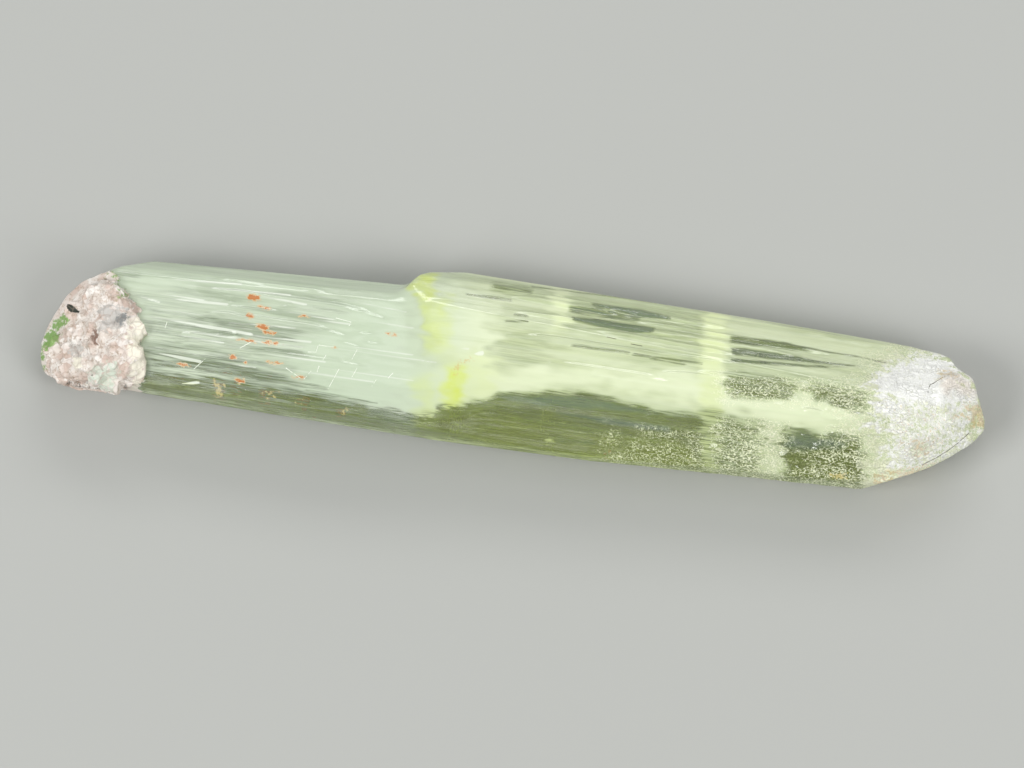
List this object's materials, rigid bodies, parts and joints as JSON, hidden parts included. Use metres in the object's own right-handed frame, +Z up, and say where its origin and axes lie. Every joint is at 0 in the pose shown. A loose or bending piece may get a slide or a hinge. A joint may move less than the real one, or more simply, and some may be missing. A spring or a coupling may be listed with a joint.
{
  "type": "hiddenite crystal",
  "caption": "Long, flat, striated prism of pale green spodumene, clear to milky, with a stepped side, an etched slanting tip and a crust of pink feldspar rock on its root.",
  "frame": {"origin": "centre of the object's box in X and Y, on the flat face that the crystal lies on", "axes": "+X along the crystal from its root, with the rock, to its etched tip; +Y to the back, the side that the step widens; +Z up"},
  "size_m": [0.095, 0.0192, 0.0103],
  "materials": {
    "crystal": "clear to milky pale green, vitreous, frosted by etching at the tip",
    "matrix": "rough pinkish white feldspar with grey quartz"
  },
  "bodies": {
    "root": {"crystal": "crystal", "matrix": "matrix"}
  },
  "joints": []
}
